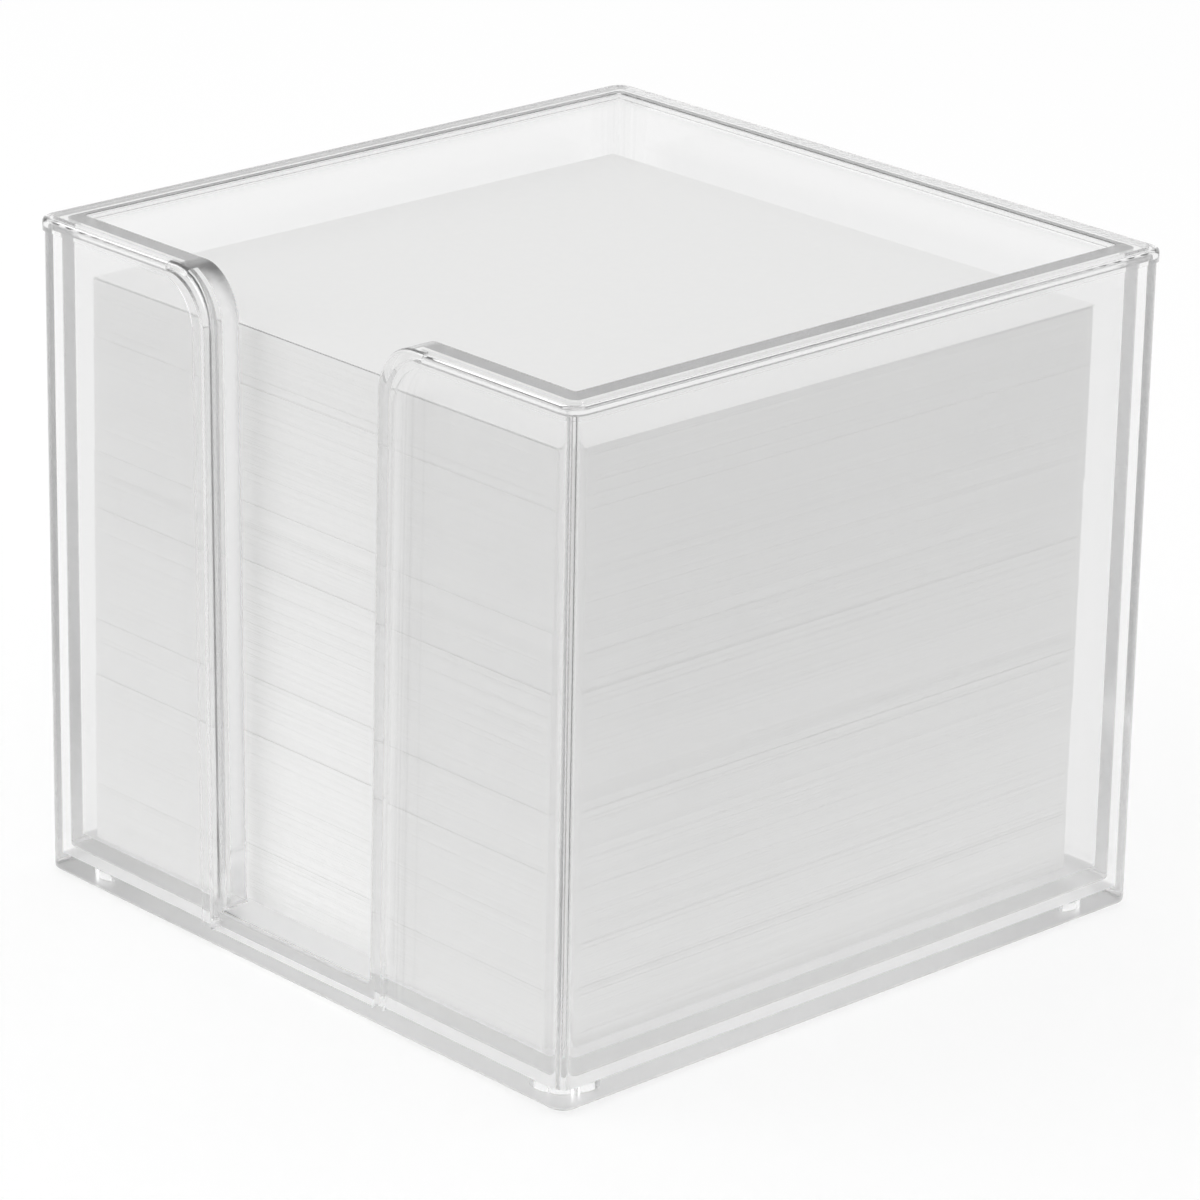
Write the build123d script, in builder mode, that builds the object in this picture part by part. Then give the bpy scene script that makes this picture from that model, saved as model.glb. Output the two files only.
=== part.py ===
from build123d import *
import math
import os

os.makedirs("parts", exist_ok=True)

# Millimetres, +Z up. X runs along the slotted front face, the front faces -Y.
# The origin is on the table, under the middle of the box.

# Note sheets
sheet_side = 90.0
sheet_thickness = 0.111
wad_sheets = 71
sheet_corner = 0.3
stack_forward = 1.3
stack_lean = 0.6

# Room that the box leaves round and above the sheets
sheet_room = 2.35
headroom = 7.7

# Outer shell
shell_corner = 2.3
outer_inside_corner = 0.4
outer_wall = 1.95
outer_floor = 2.4
base_round = 0.6
lip_overhang = 0.3
lip_band = 1.7
lip_thickness = 0.9
lip_drop = 0.25
lip_round = 0.6

# Inner shell
wall_gap = 0.55
floor_gap = 1.0
inner_wall = 2.05
inner_floor = 2.15
bond_line = 0.05
flange_thickness = 1.5
flange_groove = 0.35
flange_round = 0.3
liner_corner = 1.2
cavity_corner = 0.4
liner_base_round = 0.6

# Finger slot
slot_half_top = 16.2
slot_taper = 0.8
notch_round = 7.1
slot_corner = 0.6

# Collar of the inner shell, which lines the finger slot of the outer shell
collar_wall = 1.5
collar_top = 1.0
collar_fit = 0.15
collar_round = 0.6

# Feet
foot_disc = 9.0
foot_stand = 0.5
foot_peg = 3.3
foot_peg_length = 1.0
foot_edge = 0.15
foot_fit = 0.3
foot_inset = 8.0

# Smallest length that tells two places apart
tiny = 0.01

# How far each wad of sheets lies from the middle, from the lowest up
wad_places = [
    (0.06, 0.03), (-0.04, 0.05), (0.03, -0.04), (0.07, 0.01), (-0.02, 0.06),
    (0.04, -0.03), (-0.06, 0.02), (0.02, 0.05), (0.06, -0.02), (-0.03, 0.04),
]
loose_sheets = [("second_sheet", -0.10, 0.30), ("top_sheet", 0.25, 0.05)]
foot_places = [
    ("foot_front_left", -1, -1), ("foot_front_right", 1, -1),
    ("foot_back_left", -1, 1), ("foot_back_right", 1, 1),
]

# Levels that follow from the sizes above, from the table up
base_z = foot_stand
floor_top_z = base_z + outer_floor
liner_z = floor_top_z + floor_gap
paper_z = liner_z + inner_floor
wad_height = wad_sheets * sheet_thickness
stack_top_z = paper_z + len(wad_places) * wad_height
rim_z = stack_top_z + len(loose_sheets) * sheet_thickness + headroom
lip_top_z = rim_z - lip_drop
flange_z = rim_z - flange_thickness
ledge_z = flange_z - bond_line
shell_height = rim_z - base_z

# Half widths that follow from the sizes above, from the sheets out
cavity_half = sheet_side / 2 + sheet_room
liner_half = cavity_half + inner_wall
outer_inside_half = liner_half + wall_gap
outer_half = outer_inside_half + outer_wall
lip_half = outer_half + lip_overhang
rebate_half = lip_half - lip_thickness
flange_half = rebate_half - flange_groove
rebate_corner = shell_corner + lip_overhang - lip_thickness
collar_room = collar_wall + collar_fit
collar_z = rim_z - collar_top
foot_place = outer_half - foot_inset

front = Plane(origin=(0, 0, 0), x_dir=(1, 0, 0), z_dir=(0, -1, 0))


def slot_half(level):
    """Half width of the finger slot at a height: it narrows towards the table."""
    return slot_half_top - (rim_z - level) * math.tan(math.radians(slot_taper))


def slot_outline(bottom, top, wider):
    """Outline of the slot on the front face, opening out with rounded shoulders at the top."""
    lean = math.radians(slot_taper)
    reach = notch_round * math.tan((math.pi / 2 - lean) / 2)
    low = slot_half(bottom) + wider
    shoulder_x = slot_half(top) + wider - reach * math.sin(lean)
    shoulder_z = top - reach * math.cos(lean)
    rim_x = slot_half(top) + wider + reach
    roof = top + notch_round
    with BuildSketch(Plane.XY) as outline:
        with BuildLine():
            Line((-low, bottom), (low, bottom))
            Line((low, bottom), (shoulder_x, shoulder_z))
            RadiusArc((shoulder_x, shoulder_z), (rim_x, top), notch_round)
            Polyline((rim_x, top), (rim_x, roof), (-rim_x, roof), (-rim_x, top))
            RadiusArc((-rim_x, top), (-shoulder_x, shoulder_z), notch_round)
            Line((-shoulder_x, shoulder_z), (-low, bottom))
        make_face()
        fillet(outline.vertices().group_by(Axis.Y)[0], slot_corner)
    return outline.sketch


def slot_plate(bottom, top, wider, roof):
    """The slot's outline up to a level, and all that it encloses."""
    with BuildSketch(Plane.XY) as plate:
        add(slot_outline(bottom, top, wider))
        with Locations((0, (bottom + roof) / 2)):
            Rectangle(2 * outer_half, roof - bottom, mode=Mode.INTERSECT)
    return plate.sketch


def on_rim(edge, level, half):
    """True for an edge that runs round the box at a level and a half width."""
    middle = edge @ 0.5
    from_middle = max(abs(middle.X), abs(middle.Y))
    return abs(middle.Z - level) < tiny and abs(from_middle - half) < shell_corner / 2


def on_front(edge, half):
    """True for an edge that lies on the front face at a half width."""
    return abs((edge @ 0.5).Y + half) < tiny


def foot_holes(radius):
    """Rounds of one radius at the four places of a foot."""
    with GridLocations(2 * foot_place, 2 * foot_place, 2, 2):
        Circle(radius)


# Outer shell: the clear box that is seen from outside, with the lip round its edge
with BuildPart() as outer_shell:
    with BuildSketch(Plane.XY.offset(base_z)):
        RectangleRounded(2 * outer_half, 2 * outer_half, shell_corner)
    extrude(amount=shell_height - lip_drop - lip_band / 2)
    fillet(outer_shell.edges().group_by(Axis.Z)[0], base_round)
    with BuildSketch(Plane.XY.offset(lip_top_z - lip_band)):
        RectangleRounded(2 * lip_half, 2 * lip_half, shell_corner + lip_overhang)
    extrude(amount=lip_band)
    fillet([e for e in outer_shell.edges() if on_rim(e, lip_top_z, lip_half)], lip_round)
    with BuildSketch(front.offset(outer_half - lip_overhang)):
        add(slot_plate(floor_top_z, collar_z - lip_round, collar_room + lip_band, lip_top_z - lip_round))
    extrude(amount=2 * lip_overhang)
    with BuildSketch(front.offset(liner_half)):
        add(slot_outline(floor_top_z, collar_z - collar_fit, collar_room))
    extrude(amount=lip_half, mode=Mode.SUBTRACT)
    with BuildSketch(Plane.XY.offset(floor_top_z)):
        RectangleRounded(2 * outer_inside_half, 2 * outer_inside_half, outer_inside_corner)
    extrude(amount=shell_height, mode=Mode.SUBTRACT)
    with BuildSketch(Plane.XY.offset(ledge_z)):
        RectangleRounded(2 * rebate_half, 2 * rebate_half, rebate_corner)
    extrude(amount=shell_height, mode=Mode.SUBTRACT)
    with BuildSketch(Plane.XY.offset(base_z)):
        foot_holes(foot_peg / 2 + foot_fit)
    extrude(amount=foot_peg_length + bond_line, mode=Mode.SUBTRACT)
outer_shell.part.label = "outer_shell"
export_step(outer_shell.part, "parts/outer_shell.step")

# Inner shell: the tray that holds the sheets. Its flange covers the wall gap round the rim,
# and its collar lines the finger slot and comes out flush with the front.
with BuildPart() as inner_shell:
    with BuildSketch(Plane.XY.offset(liner_z)):
        RectangleRounded(2 * liner_half, 2 * liner_half, liner_corner)
    extrude(amount=flange_z + flange_thickness / 2 - liner_z)
    fillet(inner_shell.edges().group_by(Axis.Z)[0], liner_base_round)
    with BuildSketch(Plane.XY.offset(flange_z)):
        RectangleRounded(2 * flange_half, 2 * flange_half, rebate_corner)
    extrude(amount=flange_thickness)
    with BuildSketch(front.offset(cavity_half)):
        add(slot_plate(liner_z, collar_z, collar_wall, rim_z))
    extrude(amount=outer_half - cavity_half)
    with BuildSketch(Plane.XY.offset(paper_z)):
        RectangleRounded(2 * cavity_half, 2 * cavity_half, cavity_corner)
    extrude(amount=shell_height, mode=Mode.SUBTRACT)
    fillet([e for e in inner_shell.edges() if on_rim(e, rim_z, cavity_half)], flange_round)
    with BuildSketch(front.offset(cavity_half - wall_gap)):
        add(slot_outline(paper_z, rim_z, 0))
    extrude(amount=outer_half, mode=Mode.SUBTRACT)
    fillet([e for e in inner_shell.edges(Select.LAST) if on_front(e, outer_half)], collar_round)
inner_shell.part.label = "inner_shell"
export_step(inner_shell.part, "parts/inner_shell.step")

# Feet: a clear disc under the base, held by a peg in a blind hole
for foot_name, side_x, side_y in foot_places:
    with BuildPart() as foot:
        with BuildSketch(Plane(origin=(side_x * foot_place, side_y * foot_place, 0))):
            Circle(foot_disc / 2)
        extrude(amount=foot_stand - bond_line)
        fillet(foot.edges().group_by(Axis.Z)[0], foot_edge)
        with BuildSketch(Plane(origin=(side_x * foot_place, side_y * foot_place, foot_stand - bond_line))):
            Circle(foot_peg / 2)
        extrude(amount=foot_peg_length)
    foot.part.label = foot_name
    export_step(foot.part, f"parts/{foot_name}.step")

# Note sheets: ten wads, each a little out of line with the next, and two loose sheets on top
for wad_index, (wad_x, wad_y) in enumerate(wad_places):
    wad_name = f"sheet_wad_{wad_index + 1:02d}"
    with BuildPart() as wad:
        wad_lean = stack_lean * (wad_index / (len(wad_places) - 1) - 0.5)
        wad_z = paper_z + wad_index * wad_height
        with BuildSketch(Plane(origin=(wad_x, wad_y + wad_lean - stack_forward, wad_z))):
            RectangleRounded(sheet_side, sheet_side, sheet_corner)
        extrude(amount=wad_height)
    wad.part.label = wad_name
    export_step(wad.part, f"parts/{wad_name}.step")

for sheet_index, (sheet_name, sheet_x, sheet_y) in enumerate(loose_sheets):
    with BuildPart() as sheet:
        sheet_z = stack_top_z + sheet_index * sheet_thickness
        with BuildSketch(Plane(origin=(sheet_x, sheet_y + stack_lean / 2 - stack_forward, sheet_z))):
            RectangleRounded(sheet_side, sheet_side, sheet_corner)
        extrude(amount=sheet_thickness)
    sheet.part.label = sheet_name
    export_step(sheet.part, f"parts/{sheet_name}.step")
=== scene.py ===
import math

import bpy
from mathutils import Matrix, Vector


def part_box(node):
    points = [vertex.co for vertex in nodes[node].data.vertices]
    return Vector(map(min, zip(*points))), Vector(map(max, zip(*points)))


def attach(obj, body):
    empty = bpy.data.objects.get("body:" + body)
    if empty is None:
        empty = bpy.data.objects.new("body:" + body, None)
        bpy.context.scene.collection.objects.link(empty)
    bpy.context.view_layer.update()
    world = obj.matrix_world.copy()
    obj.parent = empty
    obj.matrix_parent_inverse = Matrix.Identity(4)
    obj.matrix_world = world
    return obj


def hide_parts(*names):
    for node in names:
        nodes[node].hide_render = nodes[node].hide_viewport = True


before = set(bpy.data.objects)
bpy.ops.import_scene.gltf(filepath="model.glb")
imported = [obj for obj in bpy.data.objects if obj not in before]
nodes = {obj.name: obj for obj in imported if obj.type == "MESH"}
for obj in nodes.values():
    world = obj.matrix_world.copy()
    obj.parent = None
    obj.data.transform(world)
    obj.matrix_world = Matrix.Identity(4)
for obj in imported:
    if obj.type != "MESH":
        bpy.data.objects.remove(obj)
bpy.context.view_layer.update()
scene = bpy.context.scene

MM = 0.001

# The camera that the photo's outline was fitted with
VIEW_AZIMUTH = 47.02
VIEW_ELEVATION = 20.36
VIEW_ROLL = 1.06
VIEW_DISTANCE = 769.5 * MM
VIEW_SIDE = 0.98 * MM
VIEW_HEIGHT = 41.4 * MM
LENS = 173.4
SENSOR = 36.0
NEAREST_SEEN = 0.01
FARTHEST_SEEN = 50.0

# Note sheets
SHEET_SIDE = 90.0 * MM
SHEET_THICKNESS = 0.111 * MM
SHEETS_IN_WAD = 71
WADS = 10
SHEET_LIFT = 0.02 * MM
WAD_JITTER = 0.032 * MM
WAD_TURN = 0.0002
WAD_CUTS = 2
WAD_FIRST_SEED = 11
LEAF_CUTS = 24
SECOND_CURL = 0.05 * MM
SECOND_SEED = 31
TOP_CURL = 0.12 * MM
TOP_SEED = 32

# Paper: fibres, and sheets that differ a little from each other
PAPER_TONE = 0.83
PAPER_BLUE = 0.995
PAPER_ROUGHNESS = 0.85
PAPER_SPECULAR = 0.2
FIBRE_SCALE = 900.0
FIBRE_DETAIL = 4.0
FIBRE_CONTRAST = 0.02
SHEET_CONTRAST = 0.014
MID = 0.5

# Clear plastic of the two shells and the feet
SHELL_TINT = 0.972
# Painted shade: a greyer tint for the lip and flange at the rim
RIM_PAINTED_SHADE_TINT = 0.935
SHELL_SATIN = 0.05
SHELL_ABSORB = 5.5
FOOT_TINT = 0.8
FOOT_SATIN = 0.3
FOOT_ABSORB = 9.0
PLASTIC_IOR = 1.53
ABSORB_GREY = 0.5
SMUDGE_SCALE = 60.0
SMUDGE_DETAIL = 3.0
SMUDGE_SATIN = 0.04
WAVE_SCALE = 45.0
WAVE_DETAIL = 1.0
WAVE_HEIGHT = 0.001 * MM

# Below this height the flat faces inside the box are floors, with a satin finish
FLOOR_ZONE = 7.0 * MM
FLOOR_FLATNESS = 0.9
FLOOR_SATIN = 0.22

# Above this height lie the lip and the flange, which are given a greyer tint: painted shade that stands in
# for the grey the surroundings lend the rim
RIM_PAINTED_SHADE_HEIGHT = 90.8 * MM

# The table: white where it is seen, and a pool of it round the box lights the box from below
TABLE_HALF = 6.0
TABLE_TONE = 0.45
TABLE_ROUGHNESS = 0.9
TABLE_GLOW = 0.57
POOL_GLOW = 0.88
POOL_RADIUS = 0.12
POOL_FADE = 0.25

# Light of the studio: the world, and two soft boxes
LIGHT_LEVEL = 0.8
KEY_PLACE = (-0.45, -0.55, 0.35)
KEY_AIM = (0.0, 0.0, 0.045)
KEY_SIDE = 0.45
KEY_LEVEL = 0.95
TOP_PLACE = (0.0, 0.0, 0.75)
TOP_AIM = (0.0, 0.0, 0.0)
TOP_SIDE = 1.8
TOP_LEVEL = 0.2

# Light crosses many clear faces before it leaves the box
CLEAR_BOUNCES = 40
PAPER_BOUNCES = 4


class Socket:
    """An output of a node in a shader or geometry tree, with arithmetic that adds Math nodes."""

    def __init__(self, tree, socket):
        self.tree = tree
        self.socket = socket

    @staticmethod
    def node(tree, kind, settings=None, inputs=None, output=0):
        made = tree.nodes.new(kind)
        for key, value in (settings or {}).items():
            setattr(made, key, value)
        for key, value in (inputs or {}).items():
            if isinstance(value, Socket):
                tree.links.new(value.socket, made.inputs[key])
            else:
                made.inputs[key].default_value = value
        return Socket(tree, made.outputs[output])

    def math(self, operation, *others):
        inputs = {0: self}
        inputs.update({i + 1: other for i, other in enumerate(others)})
        return Socket.node(self.tree, "ShaderNodeMath", {"operation": operation}, inputs)

    def __add__(self, other):
        return self.math("ADD", other)

    def __radd__(self, other):
        return self.math("ADD", other)

    def __mul__(self, other):
        return self.math("MULTIPLY", other)

    def __rmul__(self, other):
        return self.math("MULTIPLY", other)

    def __sub__(self, other):
        return self.math("SUBTRACT", other)

    def __rsub__(self, other):
        return Socket.node(self.tree, "ShaderNodeMath", {"operation": "SUBTRACT"}, {0: other, 1: self})


def new_material(name):
    material = bpy.data.materials.new(name)
    material.use_nodes = True
    tree = material.node_tree
    tree.nodes.clear()
    output = tree.nodes.new("ShaderNodeOutputMaterial")
    surface = tree.nodes.new("ShaderNodeBsdfPrincipled")
    tree.links.new(surface.outputs["BSDF"], output.inputs["Surface"])
    return material, tree, surface, output


def object_place(tree):
    """Place on the piece, in its own coordinates."""
    return Socket.node(tree, "ShaderNodeTexCoord", output="Object")


def grey(tree, level):
    return Socket.node(tree, "ShaderNodeCombineColor", None, {0: level, 1: level, 2: level})


def clear_plastic(name, tint, satin, absorb, rim_shade_tint=None):
    """Clear moulded plastic: smudges and faint waves in its faces, and satin floors inside the box."""
    material, tree, surface, output = new_material(name)
    where = object_place(tree)
    height = Socket.node(tree, "ShaderNodeSeparateXYZ", None, {0: where}, output="Z")
    facing = Socket.node(tree, "ShaderNodeNewGeometry", output="Normal")
    upward = Socket.node(tree, "ShaderNodeSeparateXYZ", None, {0: facing}, output="Z").math("ABSOLUTE")
    on_floor = upward.math("GREATER_THAN", FLOOR_FLATNESS) * height.math("LESS_THAN", FLOOR_ZONE)
    smudge = Socket.node(tree, "ShaderNodeTexNoise", None,
                         {"Vector": where, "Scale": SMUDGE_SCALE, "Detail": SMUDGE_DETAIL})
    roughness = satin + smudge * SMUDGE_SATIN + on_floor * FLOOR_SATIN
    tree.links.new(roughness.socket, surface.inputs["Roughness"])
    waves = Socket.node(tree, "ShaderNodeTexNoise", None,
                        {"Vector": where, "Scale": WAVE_SCALE, "Detail": WAVE_DETAIL})
    bump = Socket.node(tree, "ShaderNodeBump", None,
                       {"Height": waves, "Strength": 1.0, "Distance": WAVE_HEIGHT})
    tree.links.new(bump.socket, surface.inputs["Normal"])
    surface.inputs["Base Color"].default_value = (tint, tint, tint, 1.0)
    # Painted shade: above the rim height the tint drops to the darker rim tint, so the lip and flange look
    # greyer
    if rim_shade_tint is not None:
        clear = tint - height.math("GREATER_THAN", RIM_PAINTED_SHADE_HEIGHT) * (tint - rim_shade_tint)
        tree.links.new(grey(tree, clear).socket, surface.inputs["Base Color"])
    surface.inputs["IOR"].default_value = PLASTIC_IOR
    surface.inputs["Transmission Weight"].default_value = 1.0
    volume = Socket.node(tree, "ShaderNodeVolumeAbsorption", None,
                         {"Color": (ABSORB_GREY, ABSORB_GREY, ABSORB_GREY, 1.0), "Density": absorb})
    tree.links.new(volume.socket, output.inputs["Volume"])
    return material


def paper_material(name):
    """Uncoated white paper: fine fibres, and a tone of its own for each sheet."""
    material, tree, surface, _ = new_material(name)
    fibre = Socket.node(tree, "ShaderNodeTexNoise", None,
                        {"Vector": object_place(tree), "Scale": FIBRE_SCALE, "Detail": FIBRE_DETAIL})
    per_sheet = Socket.node(tree, "ShaderNodeAttribute", {"attribute_name": "sheet_tone"}, output="Fac")
    level = PAPER_TONE + (fibre - MID) * FIBRE_CONTRAST + (per_sheet - MID) * SHEET_CONTRAST
    colour = Socket.node(tree, "ShaderNodeCombineColor", None, {0: level, 1: level, 2: level * PAPER_BLUE})
    tree.links.new(colour.socket, surface.inputs["Base Color"])
    surface.inputs["Roughness"].default_value = PAPER_ROUGHNESS
    surface.inputs["Specular IOR Level"].default_value = PAPER_SPECULAR
    return material


plastic = clear_plastic("clear_plastic", SHELL_TINT, SHELL_SATIN, SHELL_ABSORB, RIM_PAINTED_SHADE_TINT)
foot_plastic = clear_plastic("clear_foot_plastic", FOOT_TINT, FOOT_SATIN, FOOT_ABSORB)
paper = paper_material("white_paper")


def dress(obj, material):
    obj.data.materials.clear()
    obj.data.materials.append(material)


dress(nodes["outer_shell"], plastic)
dress(nodes["inner_shell"], plastic)
for name, node in nodes.items():
    if name.startswith("foot_"):
        dress(node, foot_plastic)

# Inputs of the tree that makes the sheets, and their kinds
SHEET_INPUTS = {
    "Count": "NodeSocketInt", "Side": "NodeSocketFloat", "Thickness": "NodeSocketFloat",
    "Centre": "NodeSocketVector", "Jitter": "NodeSocketFloat", "Turn": "NodeSocketFloat",
    "Curl": "NodeSocketFloat", "Cuts": "NodeSocketInt", "Seed": "NodeSocketInt",
    "Material": "NodeSocketMaterial",
}


def sheet_tree():
    """Geometry Nodes: a pile of thin sheets, each a little out of line."""
    tree = bpy.data.node_groups.new("note_sheets", "GeometryNodeTree")
    tree.interface.new_socket("Geometry", in_out="OUTPUT", socket_type="NodeSocketGeometry")
    for name, kind in SHEET_INPUTS.items():
        tree.interface.new_socket(name, in_out="INPUT", socket_type=kind)
    group_input = tree.nodes.new("NodeGroupInput")
    group_output = tree.nodes.new("NodeGroupOutput")
    given = {name: Socket(tree, group_input.outputs[name]) for name in SHEET_INPUTS}

    def add(kind, settings=None, inputs=None, output=0):
        return Socket.node(tree, kind, settings, inputs, output)

    def vector(**parts):
        return add("ShaderNodeCombineXYZ", None, parts)

    def vector_math(operation, inputs):
        return add("ShaderNodeVectorMath", {"operation": operation}, inputs)

    # One point for each sheet, most of them close to the line and a few further out
    points = add("GeometryNodeMeshLine", None, {
        "Count": given["Count"], "Start Location": given["Centre"], "Offset": vector(Z=given["Thickness"])})
    chance = add("FunctionNodeRandomValue", {"data_type": "FLOAT_VECTOR"},
                 {0: (-1.0, -1.0, 0.0), 1: (1.0, 1.0, 0.0), "Seed": given["Seed"]})
    amount = vector_math("ABSOLUTE", {0: chance})
    rare = vector_math("MULTIPLY", {0: amount, 1: chance})
    shift = vector_math("SCALE", {0: rare, "Scale": given["Jitter"]})
    moved = add("GeometryNodeSetPosition", None, {"Geometry": points, "Offset": shift})

    # One sheet, whose curl lifts the corner away from the slot, as the square of the way out to it
    size = vector(X=given["Side"], Y=given["Side"], Z=given["Thickness"])
    sheet = add("GeometryNodeMeshCube", None,
                {"Size": size, "Vertices X": given["Cuts"], "Vertices Y": given["Cuts"]}, "Mesh")
    place = add("GeometryNodeInputPosition")
    across = add("ShaderNodeSeparateXYZ", None, {0: place}, "X")
    along = add("ShaderNodeSeparateXYZ", None, {0: place}, "Y")
    share = add("ShaderNodeMath", {"operation": "DIVIDE", "use_clamp": True},
                {0: across + along, 1: given["Side"]})
    rise = share * share * given["Curl"]
    curled = add("GeometryNodeSetPosition", None, {"Geometry": sheet, "Offset": vector(Z=rise)})

    turn_most = vector(Z=given["Turn"])
    turn_least = vector_math("SCALE", {0: turn_most, "Scale": -1.0})
    turn = add("FunctionNodeRandomValue", {"data_type": "FLOAT_VECTOR"},
               {0: turn_least, 1: turn_most, "Seed": given["Seed"]})
    sheets = add("GeometryNodeInstanceOnPoints", None,
                 {"Points": moved, "Instance": curled, "Rotation": turn})
    tone = add("FunctionNodeRandomValue", {"data_type": "FLOAT"}, {"Seed": given["Seed"]}, 1)
    toned = add("GeometryNodeStoreNamedAttribute", {"data_type": "FLOAT", "domain": "INSTANCE"},
                {"Geometry": sheets, "Name": "sheet_tone", "Value": tone})
    real = add("GeometryNodeRealizeInstances", None, {0: toned})
    painted = add("GeometryNodeSetMaterial", None, {"Geometry": real, "Material": given["Material"]})
    tree.links.new(painted.socket, group_output.inputs[0])
    return tree


SHEETS = sheet_tree()


def pile(name, node, count, jitter, turn, curl, cuts, seed):
    """A plain mesh of sheets in the place of a CAD node, made by the node tree."""
    low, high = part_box(node)
    centre = ((low.x + high.x) / 2, (low.y + high.y) / 2, low.z + SHEET_THICKNESS / 2 + SHEET_LIFT)
    holder = bpy.data.objects.new(name + "_holder", bpy.data.meshes.new(name + "_holder"))
    scene.collection.objects.link(holder)
    modifier = holder.modifiers.new("sheets", "NODES")
    modifier.node_group = SHEETS
    values = {"Count": count, "Side": SHEET_SIDE, "Thickness": SHEET_THICKNESS, "Centre": centre,
              "Jitter": jitter, "Turn": turn, "Curl": curl, "Cuts": cuts, "Seed": seed, "Material": paper}
    for item in SHEETS.interface.items_tree:
        if item.in_out == "INPUT":
            modifier[item.identifier] = values[item.name]
    bpy.context.view_layer.update()
    graph = bpy.context.evaluated_depsgraph_get()
    mesh = bpy.data.meshes.new_from_object(holder.evaluated_get(graph))
    bpy.data.objects.remove(holder)
    mesh.name = name
    piece = bpy.data.objects.new(name, mesh)
    scene.collection.objects.link(piece)
    return piece


for index in range(WADS):
    node = f"sheet_wad_{index + 1:02d}"
    piece = pile(f"wad_{index + 1:02d}_sheets", node, SHEETS_IN_WAD, WAD_JITTER, WAD_TURN, 0.0,
                 WAD_CUTS, WAD_FIRST_SEED + index)
    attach(piece, "sheet_stack")
    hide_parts(node)
for node, curl, seed in (("second_sheet", SECOND_CURL, SECOND_SEED), ("top_sheet", TOP_CURL, TOP_SEED)):
    piece = pile(node + "_leaf", node, 1, 0.0, 0.0, curl, LEAF_CUTS, seed)
    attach(piece, node)
    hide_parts(node)


def seen_directly(tree):
    """1 for what is seen straight, in a gloss or through plastic, and 0 for what lights the object."""
    bounces = Socket.node(tree, "ShaderNodeLightPath", output="Diffuse Depth")
    return 1.0 - bounces.math("MINIMUM", 1.0)


def table_material(name):
    """Pale table top, whose glow makes it white where it is seen and keeps the shadow of the box."""
    material, tree, surface, _ = new_material(name)
    surface.inputs["Base Color"].default_value = (TABLE_TONE, TABLE_TONE, TABLE_TONE, 1.0)
    surface.inputs["Roughness"].default_value = TABLE_ROUGHNESS
    surface.inputs["Specular IOR Level"].default_value = 0.0
    way = Socket.node(tree, "ShaderNodeVectorMath", {"operation": "LENGTH"}, {0: object_place(tree)}, "Value")
    past_pool = ((way - POOL_RADIUS) * (1.0 / POOL_FADE)).math("MAXIMUM", 0.0).math("MINIMUM", 1.0)
    seen = seen_directly(tree)
    glow = seen * TABLE_GLOW + (1.0 - seen) * (1.0 - past_pool) * POOL_GLOW
    tree.links.new(grey(tree, glow).socket, surface.inputs["Emission Color"])
    surface.inputs["Emission Strength"].default_value = 1.0
    return material


floor_mesh = bpy.data.meshes.new("floor")
floor_mesh.from_pydata([(-TABLE_HALF, -TABLE_HALF, 0), (TABLE_HALF, -TABLE_HALF, 0),
                        (TABLE_HALF, TABLE_HALF, 0), (-TABLE_HALF, TABLE_HALF, 0)], [], [(0, 1, 2, 3)])
floor = bpy.data.objects.new("floor", floor_mesh)
scene.collection.objects.link(floor)
dress(floor, table_material("floor_white"))

# World: white where it is seen, straight or in the plastic, and a softer level where it lights the object
world = bpy.data.worlds.new("studio")
scene.world = world
world.use_nodes = True
sky = world.node_tree.nodes["Background"]
sky.inputs["Color"].default_value = (1.0, 1.0, 1.0, 1.0)
sky_level = LIGHT_LEVEL + seen_directly(world.node_tree) * (1.0 - LIGHT_LEVEL)
world.node_tree.links.new(sky_level.socket, sky.inputs["Strength"])


def soft_lamp(name, place, aim, side, level):
    """A square soft box whose face has the radiance given, aimed at a point."""
    data = bpy.data.lights.new(name, "AREA")
    data.shape = "SQUARE"
    data.size = side
    data.energy = level * math.pi * side * side
    lamp = bpy.data.objects.new(name, data)
    lamp.location = place
    lamp.rotation_euler = (Vector(aim) - Vector(place)).to_track_quat("-Z", "Y").to_euler()
    scene.collection.objects.link(lamp)


soft_lamp("key_box", KEY_PLACE, KEY_AIM, KEY_SIDE, KEY_LEVEL)
soft_lamp("top_box", TOP_PLACE, TOP_AIM, TOP_SIDE, TOP_LEVEL)

# Camera
azimuth, elevation, roll = (math.radians(v) for v in (VIEW_AZIMUTH, VIEW_ELEVATION, VIEW_ROLL))
level_reach = math.cos(elevation)
forward = Vector((-math.sin(azimuth) * level_reach, math.cos(azimuth) * level_reach, -math.sin(elevation)))
right = Vector((math.cos(azimuth), math.sin(azimuth), 0.0))
up = right.cross(forward)
right_rolled = right * math.cos(roll) + up * math.sin(roll)
up_rolled = up * math.cos(roll) - right * math.sin(roll)
eye = right * VIEW_SIDE + Vector((0, 0, VIEW_HEIGHT)) - forward * VIEW_DISTANCE
camera = bpy.data.objects.new("camera", bpy.data.cameras.new("camera"))
scene.collection.objects.link(camera)
camera.data.lens = LENS
camera.data.sensor_width = SENSOR
camera.data.clip_start = NEAREST_SEEN
camera.data.clip_end = FARTHEST_SEEN
camera.matrix_world = Matrix((
    (right_rolled.x, up_rolled.x, -forward.x, eye.x),
    (right_rolled.y, up_rolled.y, -forward.y, eye.y),
    (right_rolled.z, up_rolled.z, -forward.z, eye.z),
    (0, 0, 0, 1),
))
scene.camera = camera

scene.view_settings.view_transform = "Standard"
scene.cycles.max_bounces = CLEAR_BOUNCES
scene.cycles.transmission_bounces = CLEAR_BOUNCES
scene.cycles.glossy_bounces = CLEAR_BOUNCES
scene.cycles.diffuse_bounces = PAPER_BOUNCES
scene.cycles.blur_glossy = 0.0
